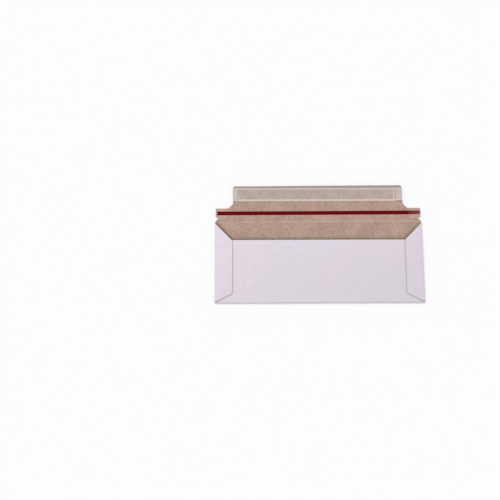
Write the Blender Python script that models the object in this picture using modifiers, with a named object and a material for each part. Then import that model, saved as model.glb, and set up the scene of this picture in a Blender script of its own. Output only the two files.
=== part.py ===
"""A self-sealing envelope of solid board, lying open on its address side.

One die-cut blank is folded into a front panel, a back panel and two glued side flaps. The
closure flap stays open and flat, as delivered. It carries a red tear tape, and a strip of
seal adhesive under its release liner. The closure crease runs along X. The pocket lies
towards -Y from it and the closure flap towards +Y. Lengths are in metres.
"""

import math

import bmesh
import bpy
from mathutils import Vector

# The folded envelope
CLOSED_WIDTH = 0.225
CLOSED_HEIGHT = 0.088
BOARD = 0.0006
POCKET_SPACE = 0.0008
THROAT_DEPTH = 0.0199
CLEARANCE = 0.0003

# The side flaps, which are folded over the back panel and glued to it
SIDE_FLAP_WIDTH = 0.0190
SIDE_FLAP_START_RISE = 0.0003
SIDE_FLAP_END_RISE = 0.0091
SIDE_FLAP_CORNER = 0.0020

# The closure flap, measured from its crease
CLOSURE_LENGTH = 0.0410
CLOSURE_INSET = 0.0198
CLOSURE_CORNER = 0.0025
SHOULDER_RUN = 0.0054
SHOULDER_RISE = 0.0049
SHOULDER_ROUNDING = 0.0030
TEAR_LINE = 0.0105
TAB_HEIGHT = 0.0100
TAB_SETBACK = 0.0009
TAB_CORNER = 0.0012
NOTCH_DEPTH = 0.0045
CREASE_WIDTH = 0.0016
CREASE_RISE = 0.00015

# The tape, the seal and its liner, and the glue bands
TAPE_WIDTH = 0.0042
TAPE_FILM = 0.0001
TAPE_LEFT_MARGIN = 0.0016
TAPE_RIGHT_MARGIN = 0.0006
LINER_WIDTH = 0.0150
LINER_FILM = 0.0001
LINER_END_MARGIN = 0.0003
LINER_MARGIN = 0.0026
SEAL_WIDTH = 0.0105
SEAL_FILM = 0.0001
SEAL_LEFT_MARGIN = 0.0040
SEAL_RIGHT_MARGIN = 0.0074
GLUE_WIDTH = 0.0100
GLUE_FILM = 0.0001
GLUE_EDGE_MARGIN = 0.0040
GLUE_END_MARGIN = 0.0030

# How finely the curves are divided, and how near counts as on a line or at a point
FOLD_STEPS = 10
CREASE_STEPS = 6
ROUND_STEPS = 6
LINE_TOLERANCE = 0.0000001
MERGE_DISTANCE = 0.00001

# Radii of the folds at the middle of the board, and the lines where they start
BOTTOM_RADIUS = (POCKET_SPACE + BOARD) / 2
SIDE_RADIUS = BOTTOM_RADIUS + (BOARD + GLUE_FILM) / 2 + CLEARANCE
BOTTOM_FOLD = CLOSED_HEIGHT - BOARD / 2 - BOTTOM_RADIUS
SIDE_FOLD = CLOSED_WIDTH / 2 - BOARD / 2 - SIDE_RADIUS

# Where the crease lies, so that the whole part is centred on its origin
CREASE_Y = (CLOSED_HEIGHT - CLOSURE_LENGTH) / 2


def clear_scene():
    """Empties the scene of whatever it was opened with."""
    for obj in list(bpy.data.objects):
        bpy.data.objects.remove(obj)


def make_material(name, colour, roughness):
    """A plain surface of one colour."""
    material = bpy.data.materials.new(name)
    material.use_nodes = True
    shader = material.node_tree.nodes["Principled BSDF"]
    shader.inputs["Base Color"].default_value = (*colour, 1.0)
    shader.inputs["Roughness"].default_value = roughness
    shader.inputs["Metallic"].default_value = 0.0
    return material


def rounded(before, corner, after, radius):
    """The arc that rounds a corner of an outline, from the leg before it to the leg after it."""
    corner = Vector(corner)
    first = (Vector(before) - corner).normalized()
    second = (Vector(after) - corner).normalized()
    half_angle = first.angle(second) / 2
    centre = corner + (first + second).normalized() * radius / math.sin(half_angle)
    start = corner + first * radius / math.tan(half_angle) - centre
    end = corner + second * radius / math.tan(half_angle) - centre
    arc = []
    for step in range(ROUND_STEPS + 1):
        spoke = start.lerp(end, step / ROUND_STEPS).normalized()
        arc.append(centre + spoke * radius)
    return arc


def closure_outline():
    """The closure flap's right half, from the middle of its free edge to the crease's end."""
    half = CLOSED_WIDTH / 2 - CLOSURE_INSET
    tab_half = CLOSED_WIDTH / 2 - TAB_SETBACK
    tab_top = TEAR_LINE + TAB_HEIGHT / 2
    tab_foot = TEAR_LINE - TAB_HEIGHT / 2
    free_corner = (half, CLOSURE_LENGTH)
    upper_shoulder = (half, tab_top + SHOULDER_RISE)
    lower_shoulder = (half + SHOULDER_RUN, tab_top)
    upper_tab_corner = (tab_half, tab_top)
    lower_tab_corner = (tab_half, tab_foot)
    notch = (CLOSED_WIDTH / 2 - NOTCH_DEPTH, tab_foot)
    return [
        Vector((0, CLOSURE_LENGTH)),
        *rounded((0, CLOSURE_LENGTH), free_corner, upper_shoulder, CLOSURE_CORNER),
        *rounded(free_corner, upper_shoulder, lower_shoulder, SHOULDER_ROUNDING),
        *rounded(upper_shoulder, lower_shoulder, upper_tab_corner, SHOULDER_ROUNDING),
        *rounded(lower_shoulder, upper_tab_corner, lower_tab_corner, TAB_CORNER),
        *rounded(upper_tab_corner, lower_tab_corner, notch, TAB_CORNER),
        Vector(notch),
        Vector((CLOSED_WIDTH / 2, 0)),
        Vector((SIDE_FOLD, 0)),
    ]


def side_flap_outline():
    """The right side flap in the flat blank, from just under the crease to the bottom fold."""
    fold_depth = CLOSED_WIDTH / 2 - SIDE_FOLD
    flat_start = SIDE_FOLD + math.pi * SIDE_RADIUS
    fold_middle = (SIDE_FOLD + flat_start) / 2
    free_edge = flat_start + SIDE_FLAP_WIDTH - fold_depth
    top = -CREASE_WIDTH / 2
    foot = -BOTTOM_FOLD + CLEARANCE
    upper_corner = (free_edge, -THROAT_DEPTH)
    lower_corner = (free_edge, foot + SIDE_FLAP_END_RISE)
    lower_start = (flat_start, foot + SIDE_FLAP_START_RISE)
    return [
        Vector((SIDE_FOLD, top)),
        Vector((fold_middle, top)),
        Vector((flat_start, top - fold_depth)),
        Vector(upper_corner),
        *rounded(upper_corner, lower_corner, lower_start, SIDE_FLAP_CORNER),
        Vector(lower_start),
        Vector((fold_middle, foot)),
        Vector((SIDE_FOLD, foot)),
    ]


def back_panel_half():
    """Half the back panel's width, which stays clear of the side fold's inner wall."""
    inner_radius = SIDE_RADIUS - BOARD / 2
    panel_offset = abs(2 * BOTTOM_RADIUS - SIDE_RADIUS) + BOARD / 2
    return SIDE_FOLD + math.sqrt(inner_radius ** 2 - panel_offset ** 2) - CLEARANCE


def back_panel_outline():
    """The bottom fold and the back panel's right half, down to the middle of its throat edge."""
    half = back_panel_half()
    top = -BOTTOM_FOLD - CLEARANCE
    throat = -2 * BOTTOM_FOLD - math.pi * BOTTOM_RADIUS + THROAT_DEPTH
    return [
        Vector((SIDE_FOLD, top)),
        Vector((half, top)),
        Vector((half, throat)),
        Vector((0, throat)),
    ]


def rolled(distance, radius):
    """A point this far past the start of a half-turn fold: how far out it lies, and how high."""
    angle = min(distance / radius, math.pi)
    past = max(distance - math.pi * radius, 0.0)
    return radius * math.sin(angle) - past, radius * (1 - math.cos(angle))


def folded(point):
    """A point of the flat blank, carried to its place in the folded envelope."""
    x, y, z = point.x, point.y, 0.0
    if y < -BOTTOM_FOLD:
        out, z = rolled(-BOTTOM_FOLD - y, BOTTOM_RADIUS)
        y = -BOTTOM_FOLD - out
    elif y < 0 and x > SIDE_FOLD:
        out, z = rolled(x - SIDE_FOLD, SIDE_RADIUS)
        x = SIDE_FOLD + out
    elif abs(y) < CREASE_WIDTH / 2:
        z = CREASE_RISE * (1 + math.cos(2 * math.pi * y / CREASE_WIDTH)) / 2
    return Vector((x, y, z))


def score(blank, axis, places):
    """Divides the flat blank along parallel lines across an axis, so that it can bend there."""
    for place in places:
        bmesh.ops.bisect_plane(
            blank,
            geom=blank.verts[:] + blank.edges[:] + blank.faces[:],
            dist=LINE_TOLERANCE,
            plane_co=axis * place,
            plane_no=axis,
        )


def make_board(parent, outside, inside):
    """The folded blank: half of it is cut out flat, scored, folded, mirrored and thickened."""
    blank = bmesh.new()
    outline = closure_outline() + side_flap_outline() + back_panel_outline()
    corners = [blank.verts.new((point.x, point.y, 0)) for point in outline]
    blank.faces.new(reversed(corners))
    side_step = math.pi * SIDE_RADIUS / FOLD_STEPS
    bottom_step = math.pi * BOTTOM_RADIUS / FOLD_STEPS
    crease_step = CREASE_WIDTH / CREASE_STEPS
    across, along = Vector((1, 0, 0)), Vector((0, 1, 0))
    score(blank, across, [SIDE_FOLD + side_step * step for step in range(FOLD_STEPS + 1)])
    score(blank, along, [-BOTTOM_FOLD - bottom_step * step for step in range(FOLD_STEPS + 1)])
    score(blank, along, [crease_step * step - CREASE_WIDTH / 2 for step in range(CREASE_STEPS + 1)])
    for vertex in blank.verts:
        vertex.co = folded(vertex.co)
    blank.normal_update()
    mesh = bpy.data.meshes.new("envelope_board")
    blank.to_mesh(mesh)
    blank.free()
    mesh.materials.append(inside)
    mesh.materials.append(outside)

    board = bpy.data.objects.new("envelope_board", mesh)
    collection.objects.link(board)
    board.parent = parent
    board.location = (0, 0, BOARD / 2)
    halves = board.modifiers.new("both_halves", "MIRROR")
    halves.use_clip = True
    halves.merge_threshold = MERGE_DISTANCE
    thickness = board.modifiers.new("board_thickness", "SOLIDIFY")
    thickness.thickness = BOARD
    thickness.offset = 0.0
    thickness.use_even_offset = True
    thickness.material_offset = 1


def make_strip(name, parent, material, corner, opposite, base, film):
    """A flat strip from one corner to the opposite one, on a base height and of a film thickness."""
    bpy.ops.mesh.primitive_cube_add(size=1.0)
    strip = bpy.context.active_object
    strip.name = name
    strip.data.name = name
    for other in list(strip.users_collection):
        other.objects.unlink(strip)
    collection.objects.link(strip)
    size = Vector((abs(opposite[0] - corner[0]), abs(opposite[1] - corner[1]), film))
    for vertex in strip.data.vertices:
        vertex.co *= size
    strip.parent = parent
    middle_x = (corner[0] + opposite[0]) / 2
    middle_y = (corner[1] + opposite[1]) / 2
    strip.location = (middle_x, middle_y, base + film / 2)
    strip.data.materials.append(material)


def make_tear_tape(parent, material):
    """The red tape from one tear tab to the other, on the board's inside."""
    tab_half = CLOSED_WIDTH / 2 - TAB_SETBACK
    left = -tab_half + TAPE_LEFT_MARGIN
    right = tab_half - TAPE_RIGHT_MARGIN
    low = TEAR_LINE - TAPE_WIDTH / 2
    make_strip(
        "tear_tape", parent, material, (left, low), (right, low + TAPE_WIDTH),
        BOARD + CLEARANCE, TAPE_FILM,
    )


def make_seal(parent, seal_material, liner_material):
    """The seal adhesive near the closure flap's free edge, and the liner that covers it."""
    half = CLOSED_WIDTH / 2 - CLOSURE_INSET
    middle = CLOSURE_LENGTH - LINER_MARGIN - LINER_WIDTH / 2
    seal_base = BOARD + CLEARANCE
    make_strip(
        "seal_adhesive", parent, seal_material,
        (-half + SEAL_LEFT_MARGIN, middle - SEAL_WIDTH / 2),
        (half - SEAL_RIGHT_MARGIN, middle + SEAL_WIDTH / 2),
        seal_base, SEAL_FILM,
    )
    make_strip(
        "release_liner", parent, liner_material,
        (-half + LINER_END_MARGIN, middle - LINER_WIDTH / 2),
        (half - LINER_END_MARGIN, middle + LINER_WIDTH / 2),
        seal_base + SEAL_FILM + CLEARANCE, LINER_FILM,
    )


def make_side_glue(name, side, parent, material):
    """The glue between the back panel and one side flap. Side is -1 on the left, 1 on the right."""
    outer = CLOSED_WIDTH / 2 - GLUE_EDGE_MARGIN
    low = -BOTTOM_FOLD + SIDE_FLAP_END_RISE + GLUE_END_MARGIN
    high = -THROAT_DEPTH - GLUE_END_MARGIN
    make_strip(
        name, parent, material, (side * outer, low), (side * (outer - GLUE_WIDTH), high),
        2 * BOTTOM_RADIUS + BOARD + CLEARANCE, GLUE_FILM,
    )


clear_scene()
collection = bpy.data.collections.new("board_envelope")
bpy.context.scene.collection.children.link(collection)

crease = bpy.data.objects.new("closure_crease", None)
crease.location = (0, CREASE_Y, 0)
collection.objects.link(crease)

white_face = make_material("white_face", (0.73, 0.68, 0.73), 0.55)
brown_board = make_material("brown_board", (0.45, 0.32, 0.26), 0.90)
red_film = make_material("red_film", (0.13, 0.004, 0.006), 0.35)
clear_glue = make_material("clear_glue", (0.50, 0.44, 0.38), 0.25)
liner_paper = make_material("liner_paper", (0.55, 0.48, 0.45), 0.40)

make_board(crease, white_face, brown_board)
make_tear_tape(crease, red_film)
make_seal(crease, clear_glue, liner_paper)
make_side_glue("side_glue_left", -1, crease, clear_glue)
make_side_glue("side_glue_right", 1, crease, clear_glue)
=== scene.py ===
"""An open self-sealing envelope of solid board, on a pale studio floor.

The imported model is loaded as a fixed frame. Fine pieces then stand for its six nodes: one
folded blank of board, the tear tape, the seal adhesive with its release liner, and the two
glue lines under the side flaps. Lengths are in metres. On the flat blank, x runs along the
closure crease and v away from it: positive on the closure flap, and negative over the front
panel, the bottom fold and the back panel, in that order.
"""

import logging
import math
from dataclasses import dataclass, field
from enum import Enum
from typing import Any, Dict, List, Optional, Sequence, Tuple, Union

import bpy
import numpy as np
from mathutils import Matrix, Vector


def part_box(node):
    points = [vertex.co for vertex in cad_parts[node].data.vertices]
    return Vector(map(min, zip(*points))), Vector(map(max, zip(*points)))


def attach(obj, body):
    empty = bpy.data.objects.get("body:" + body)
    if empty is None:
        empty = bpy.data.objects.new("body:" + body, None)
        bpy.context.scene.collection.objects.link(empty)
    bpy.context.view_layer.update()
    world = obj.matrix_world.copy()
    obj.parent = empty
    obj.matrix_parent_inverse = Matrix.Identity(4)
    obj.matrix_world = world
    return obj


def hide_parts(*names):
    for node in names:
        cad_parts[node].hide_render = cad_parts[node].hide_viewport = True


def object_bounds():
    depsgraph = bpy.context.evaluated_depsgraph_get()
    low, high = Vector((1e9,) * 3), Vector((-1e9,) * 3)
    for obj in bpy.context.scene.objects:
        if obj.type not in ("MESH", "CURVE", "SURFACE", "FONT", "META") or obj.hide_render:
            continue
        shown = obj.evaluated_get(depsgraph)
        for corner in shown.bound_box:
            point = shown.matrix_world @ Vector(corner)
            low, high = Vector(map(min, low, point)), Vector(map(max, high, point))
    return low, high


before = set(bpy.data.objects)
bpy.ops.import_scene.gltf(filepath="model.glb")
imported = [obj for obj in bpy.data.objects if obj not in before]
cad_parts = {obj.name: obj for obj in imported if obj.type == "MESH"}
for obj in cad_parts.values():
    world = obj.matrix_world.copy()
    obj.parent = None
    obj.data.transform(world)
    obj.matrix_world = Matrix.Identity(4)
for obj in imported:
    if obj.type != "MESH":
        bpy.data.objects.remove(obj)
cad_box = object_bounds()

log = logging.getLogger("envelope")

BODY = "root"
LATTICE = 0.000001  # points this near each other in the flat blank are one point
LATTICE_SHIFT = 0.37  # keeps round numbers off the borders between the lattice's cells
ROUNDING = 0.000000001  # a number of steps this little over a whole number is that number
MILLIMETRES = 1000
FILM_GAP = 0.00002  # a film or a glue line keeps this far off what it lies on
LINER_SHIFT = -0.0002  # the liner lies this far along x from its nominal place
TAPE_SHIFT = -0.0002  # the tape lies this far along y from its nominal place
TAIL_RISE = 0.0006  # the liner's loose tail lies this much further from the crease
PATTERN_MEAN = 0.5
BLANK_ATTRIBUTE = "blank"
PLY_ATTRIBUTE = "ply"
FOLD_ATTRIBUTE = "fold"

Colour = Tuple[float, float, float, float]
Term = Union["Value", float]
WHITE: Colour = (1.0, 1.0, 1.0, 1.0)
UNSTRETCHED = (1.0, 1.0, 1.0)


def srgb(red: int, green: int, blue: int) -> Colour:
    """A screen colour of 0 to 255 as the linear colour that a shader takes.

    Args:
        red: the screen's red.
        green: its green.
        blue: its blue.

    Returns:
        The linear colour, opaque.
    """
    shares = np.array([red, green, blue]) / 255
    linear = np.where(shares <= 0.04045, shares / 12.92, ((shares + 0.055) / 1.055) ** 2.4)
    return (*linear.tolist(), 1.0)


def smooth(values: np.ndarray, start: float, end: float) -> np.ndarray:
    """A ramp from 0 at start to 1 at end, level at both ends: 3 t squared less 2 t cubed.

    Args:
        values: where the ramp is read.
        start: where it leaves 0.
        end: where it reaches 1.

    Returns:
        The ramp's height at each value.
    """
    share = np.clip((values - start) / (end - start), 0, 1)
    return share * share * (3 - 2 * share)


def steps(start: float, end: float, longest: float) -> np.ndarray:
    """Even places from start to end, both included, at most a longest step apart."""
    count = math.ceil(abs(end - start) / longest - ROUNDING)
    return np.linspace(start, end, max(count, 1) + 1)


# Shader graphs


class Value:
    """A shader socket that Python's arithmetic works on, each step adding its Math node."""

    def __init__(self, graph: "Graph", socket: bpy.types.NodeSocket) -> None:
        """Wraps a socket of a graph."""
        self.graph = graph
        self.socket = socket

    def __add__(self, other: Term) -> "Value":
        """This plus another."""
        return self.graph.math("ADD", self, other)

    def __radd__(self, other: Term) -> "Value":
        """Another plus this."""
        return self.graph.math("ADD", other, self)

    def __sub__(self, other: Term) -> "Value":
        """This less another."""
        return self.graph.math("SUBTRACT", self, other)

    def __rsub__(self, other: Term) -> "Value":
        """Another less this."""
        return self.graph.math("SUBTRACT", other, self)

    def __mul__(self, other: Term) -> "Value":
        """This times another."""
        return self.graph.math("MULTIPLY", self, other)

    def __rmul__(self, other: Term) -> "Value":
        """Another times this."""
        return self.graph.math("MULTIPLY", other, self)

    def __abs__(self) -> "Value":
        """This without its sign."""
        return self.graph.math("ABSOLUTE", self)

    def ramp(self, start: float, end: float) -> "Value":
        """A smooth ramp from 0 to 1, level at both ends.

        Args:
            start: the value at which it leaves 0.
            end: the value at which it reaches 1.

        Returns:
            The ramp's height.
        """
        settings = {"interpolation_type": "SMOOTHSTEP"}
        sockets = {"Value": self, "From Min": start, "From Max": end, "To Min": 0.0, "To Max": 1.0}
        return self.graph.node("ShaderNodeMapRange", settings, sockets)

    def step(self, place: float, soft: float) -> "Value":
        """0 before a place and 1 past it, with an edge that is soft by a width."""
        return self.ramp(place - soft / 2, place + soft / 2)

    def between(self, low: float, high: float, soft: float) -> "Value":
        """1 from low to high and 0 outside, with edges that are soft by a width."""
        return self.step(low, soft) * (1 - self.step(high, soft))


class Graph:
    """The node tree of a new material or of the world, built one node at a time."""

    def __init__(self, owner: Union[bpy.types.Material, bpy.types.World]) -> None:
        """Takes over a node tree and empties it.

        Args:
            owner: the material or the world whose tree it is.
        """
        self.owner = owner
        owner.use_nodes = True
        self.tree = owner.node_tree
        self.tree.nodes.clear()

    @classmethod
    def of_material(cls, name: str) -> "Graph":
        """The graph of a new material of that name."""
        return cls(bpy.data.materials.new(name))

    def node(
        self,
        kind: str,
        settings: Optional[Dict[str, Any]] = None,
        sockets: Optional[Dict[Union[int, str], Any]] = None,
        output: Union[int, str] = 0,
    ) -> Value:
        """Adds one node.

        Args:
            kind: the node's type.
            settings: its settings, which are set first.
            sockets: what its inputs hold, each a plain value or a Value to link.
            output: which output is wanted.

        Returns:
            That output.
        """
        made = self.tree.nodes.new(kind)
        for name, setting in (settings or {}).items():
            setattr(made, name, setting)
        for name, held in (sockets or {}).items():
            if isinstance(held, Value):
                self.tree.links.new(held.socket, made.inputs[name])
            else:
                made.inputs[name].default_value = held
        return Value(self, made.outputs[output] if made.outputs else None)

    def math(self, operation: str, first: Term, second: Term = 0.0) -> Value:
        """One Math node."""
        return self.node("ShaderNodeMath", {"operation": operation}, {0: first, 1: second})

    def mix(self, share: Term, first: Any, second: Any, blend: str = "MIX") -> Value:
        """A colour between two, by a share of the second."""
        settings = {"data_type": "RGBA", "blend_type": blend}
        return self.node("ShaderNodeMix", settings, {0: share, 6: first, 7: second}, output=2)

    def attribute(self, name: str, output: int = 1) -> Value:
        """An attribute of the piece's mesh: output 1 is its vector and 2 its number."""
        settings = {"attribute_type": "GEOMETRY", "attribute_name": name}
        return self.node("ShaderNodeAttribute", settings, output=output)

    def place(self) -> Value:
        """The piece's own coordinates, in metres."""
        return self.node("ShaderNodeTexCoord", output=3)

    def part(self, vector: Value, axis: int) -> Value:
        """One number of a vector."""
        return self.node("ShaderNodeSeparateXYZ", sockets={0: vector}, output=axis)

    def stretched(self, vector: Value, scale: Sequence[float]) -> Value:
        """A vector times one number for each axis."""
        settings = {"operation": "MULTIPLY"}
        return self.node("ShaderNodeVectorMath", settings, {0: vector, 1: tuple(scale)})

    def finish(self, sockets: Dict[str, Any]) -> bpy.types.Material:
        """Ends the graph in a Principled shader.

        Args:
            sockets: what the shader's inputs hold.

        Returns:
            The finished material.
        """
        shader = self.node("ShaderNodeBsdfPrincipled", sockets=sockets)
        self.node("ShaderNodeOutputMaterial", sockets={"Surface": shader})
        return self.owner


# Sizes and places


@dataclass(frozen=True)
class Footprint:
    """Where a thin piece lies, seen from above: its two ends and its two long sides."""

    left: float
    right: float
    low: float
    high: float

    @classmethod
    def of(cls, node: str, shift_x: float = 0.0, shift_y: float = 0.0) -> "Footprint":
        """The footprint of a CAD node, moved a little."""
        least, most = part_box(node)
        return cls(least[0] + shift_x, most[0] + shift_x, least[1] + shift_y, most[1] + shift_y)

    @property
    def length(self) -> float:
        """From end to end."""
        return self.right - self.left

    @property
    def breadth(self) -> float:
        """From one long side to the other."""
        return self.high - self.low

    @property
    def centre(self) -> Tuple[float, float]:
        """The middle's x and y."""
        return (self.left + self.right) / 2, (self.low + self.high) / 2


@dataclass
class Blank:
    """The flat blank: its driving sizes, the lines that follow from them, and its sheet.

    A cell is the longest step of a grid, in metres, and the steps count a curve's divisions.
    """

    closed_width: float = 0.225
    closed_height: float = 0.088
    board: float = 0.0006
    pocket_space: float = 0.0008
    throat_depth: float = 0.0199
    clearance: float = 0.0003
    glue_film: float = 0.0001
    side_flap_width: float = 0.0190
    side_flap_start_rise: float = 0.0003
    side_flap_end_rise: float = 0.0091
    side_flap_corner: float = 0.0020
    closure_length: float = 0.0410
    closure_inset: float = 0.0198
    closure_corner: float = 0.0025
    shoulder_run: float = 0.0054
    shoulder_rise: float = 0.0049
    shoulder_rounding: float = 0.0030
    tear_line: float = 0.0105
    tab_height: float = 0.0100
    tab_setback: float = 0.0009
    tab_corner: float = 0.0012
    notch_depth: float = 0.0045
    crease_width: float = 0.0016
    crease_rise: float = 0.00015
    left_flap_drop: float = 0.0008
    cell: float = 0.0020
    tab_cell: float = 0.0013
    tab_steps: int = 4
    share_step: float = 0.17
    round_steps: int = 8
    slant_steps: int = 4
    crease_steps: int = 5
    fold_steps: int = 16
    crease_y: float = field(init=False)
    bottom_radius: float = field(init=False)
    side_radius: float = field(init=False)
    bottom_fold: float = field(init=False)
    side_fold: float = field(init=False)
    flap_half: float = field(init=False)
    tab_half: float = field(init=False)
    tab_top: float = field(init=False)
    tab_foot: float = field(init=False)
    shoulder_slope: float = field(init=False)
    tab_root: float = field(init=False)
    notch_inner: float = field(init=False)
    relief: float = field(init=False)
    crease_cell: float = field(init=False)
    foot: float = field(init=False)
    panel_start: float = field(init=False)
    throat: float = field(init=False)
    flap_edge: float = field(init=False)

    def __post_init__(self) -> None:
        """Works out the lines on which the blank folds and where its cuts meet them."""
        self.crease_y = cad_box[1][1] - self.closure_length
        self.bottom_radius = (self.pocket_space + self.board) / 2
        self.side_radius = self.bottom_radius + (self.board + self.glue_film) / 2 + self.clearance
        self.bottom_fold = self.closed_height - self.board / 2 - self.bottom_radius
        self.side_fold = self.closed_width / 2 - self.board / 2 - self.side_radius
        self.flap_half = self.closed_width / 2 - self.closure_inset
        self.flap_edge = self.closed_width / 2 - self.side_flap_width
        self.tab_half = self.closed_width / 2 - self.tab_setback
        self.tab_top = self.tear_line + self.tab_height / 2
        self.tab_foot = self.tear_line - self.tab_height / 2
        self.shoulder_slope = math.atan2(self.shoulder_rise, self.shoulder_run)
        reach = self.shoulder_rounding * math.tan(self.shoulder_slope / 2)
        self.tab_root = self.flap_half + self.shoulder_run + reach
        self.notch_inner = self.closed_width / 2 - self.notch_depth
        self.relief = -self.crease_width / 2
        self.crease_cell = -self.relief / self.crease_steps
        self.foot = -self.bottom_fold + self.clearance
        self.panel_start = -self.bottom_fold - self.clearance
        self.throat = -2 * self.bottom_fold - math.pi * self.bottom_radius + self.throat_depth

    def panel_half(self) -> float:
        """Works out how wide the back panel is, clear of the side folds' inner walls.

        Returns:
            Half its width.
        """
        inner = self.side_radius - self.board / 2
        offset = abs(2 * self.bottom_radius - self.side_radius) + self.board / 2
        return self.side_fold + math.sqrt(inner ** 2 - offset ** 2) - self.clearance

    def quarter(self) -> np.ndarray:
        """The angles of a rounded corner's points, from 0 to a right angle."""
        return np.linspace(0, np.pi / 2, self.round_steps + 1)

    def across(self) -> Tuple[np.ndarray, np.ndarray]:
        """The columns that the bands of the right half share.

        Returns:
            Places from the middle to the tab's root, and shares of the way from there to the
            edge of the notch band, one of which meets the side fold where the band is widest.
        """
        core = steps(0, self.tab_root, self.cell)
        fold_share = (self.side_fold - self.tab_root) / (self.closed_width / 2 - self.tab_root)
        return core, np.append(steps(0, fold_share, self.share_step), 1.0)

    def shoulder(self) -> Tuple[np.ndarray, np.ndarray]:
        """The slanted shoulder from the flap's side to the tab's top, rounded at both ends.

        Each rounding is an arc of a circle that touches both its legs. Between the two arcs the
        shoulder is straight.

        Returns:
            Half the flap's width, and the place below its free edge, along the shoulder.
        """
        radius = self.shoulder_rounding
        turn = math.pi / 2 - self.shoulder_slope
        upper = np.linspace(0, turn, self.round_steps + 1)
        lower = np.linspace(self.shoulder_slope, 0, self.round_steps + 1)
        start = self.tab_top + self.shoulder_rise + radius * math.tan(turn / 2)
        upper_w = self.flap_half + radius * (1 - np.cos(upper))
        upper_v = start - radius * np.sin(upper)
        lower_w = self.tab_root - radius * np.sin(lower)
        lower_v = self.tab_top + radius * (1 - np.cos(lower))
        slant_w = np.linspace(upper_w[-1], lower_w[0], self.slant_steps + 1)[1:-1]
        slant_v = np.linspace(upper_v[-1], lower_v[0], self.slant_steps + 1)[1:-1]
        whole_w = np.concatenate([upper_w, slant_w, lower_w])
        return whole_w, np.concatenate([upper_v, slant_v, lower_v])

    def closure_bands(self) -> List[np.ndarray]:
        """The closure flap's right half, in four bands from the free edge to the crease.

        Each band's half width is a function of v: straight sides, quarter circles at the
        corners, the shoulder, and a slanted line under the notch. A column keeps its share of it.

        Returns:
            A grid of flat points for each band.
        """
        core, shares = self.across()
        turn = self.quarter()
        corner, tab = self.closure_corner, self.tab_corner
        shoulder_w, shoulder_v = self.shoulder()
        rounded_v = self.closure_length - corner + corner * np.cos(turn)
        rounded_w = self.flap_half - corner + corner * np.sin(turn)
        straight_v = steps(self.closure_length - corner, shoulder_v[0], self.cell)[1:]
        flap_v = np.concatenate([rounded_v, straight_v])
        flap_w = np.concatenate([rounded_w, np.full(len(straight_v), self.flap_half)])

        straight_v = steps(self.tab_top - tab, self.tab_foot + tab, self.tab_cell)[1:]
        lower_v = self.tab_foot + tab - tab * np.sin(turn[1:])
        tab_v = np.concatenate([self.tab_top - tab + tab * np.cos(turn), straight_v, lower_v])
        tab_w = np.concatenate([
            self.tab_half - tab + tab * np.sin(turn),
            np.full(len(straight_v), self.tab_half),
            self.tab_half - tab + tab * np.cos(turn[1:]),
        ])
        notch_v = np.concatenate([
            steps(self.tab_foot, -self.relief, self.tab_cell),
            steps(-self.relief, 0, self.crease_cell)[1:],
        ])
        edge = np.interp(notch_v, [0, self.tab_foot], [self.closed_width / 2, self.notch_inner])
        root = np.full(len(notch_v), self.tab_root)

        held = self.tab_root + (self.notch_inner - self.tab_root) * shares
        tab_shares = np.linspace(0, 1, self.tab_steps + 1)[1:]
        tab_outer = self.notch_inner + np.outer(tab_w - self.notch_inner, tab_shares)
        tab_inner = np.tile(np.concatenate([core, held[1:]]), (len(tab_v), 1))
        notch_outer = root[:, None] + np.outer(edge - self.tab_root, shares[1:])
        return [
            self.band(np.outer(flap_w / self.tab_root, core), flap_v),
            self.band(np.outer(shoulder_w / self.tab_root, core), shoulder_v),
            self.band(np.hstack([tab_inner, tab_outer]), tab_v),
            self.band(np.hstack([np.tile(core, (len(notch_v), 1)), notch_outer]), notch_v),
        ]

    @staticmethod
    def band(x: np.ndarray, v: np.ndarray) -> np.ndarray:
        """A grid of flat points, from its x at each row and column and its v at each row."""
        return np.stack([x, np.broadcast_to(v[:, None], x.shape)], axis=-1)

    def panel_rows(self) -> np.ndarray:
        """The rows of the front panel, from under the crease to the bottom relief."""
        return steps(self.relief, self.foot, self.cell)

    def panel_bands(self) -> List[np.ndarray]:
        """The right half of the front panel, the bottom fold and the back panel, in two bands.

        Returns:
            A grid of flat points for the front panel, and one for the rest.
        """
        core, shares = self.across()
        widest = self.tab_root + (self.closed_width / 2 - self.tab_root) * shares[1:-1]
        columns = np.concatenate([core, widest])
        fold_end = -self.bottom_fold - math.pi * self.bottom_radius
        front_v = np.concatenate([
            steps(0, self.relief, self.crease_cell)[:-1],
            self.panel_rows(),
            [-self.bottom_fold, self.panel_start],
        ])
        fold_step = math.pi * self.bottom_radius / self.fold_steps
        back_v = np.concatenate([
            steps(self.panel_start, fold_end, fold_step),
            steps(fold_end, self.throat, self.cell)[1:],
        ])
        back_columns = np.append(columns, self.panel_half())
        return [
            self.band(np.tile(columns, (len(front_v), 1)), front_v),
            self.band(np.tile(back_columns, (len(back_v), 1)), back_v),
        ]

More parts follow.
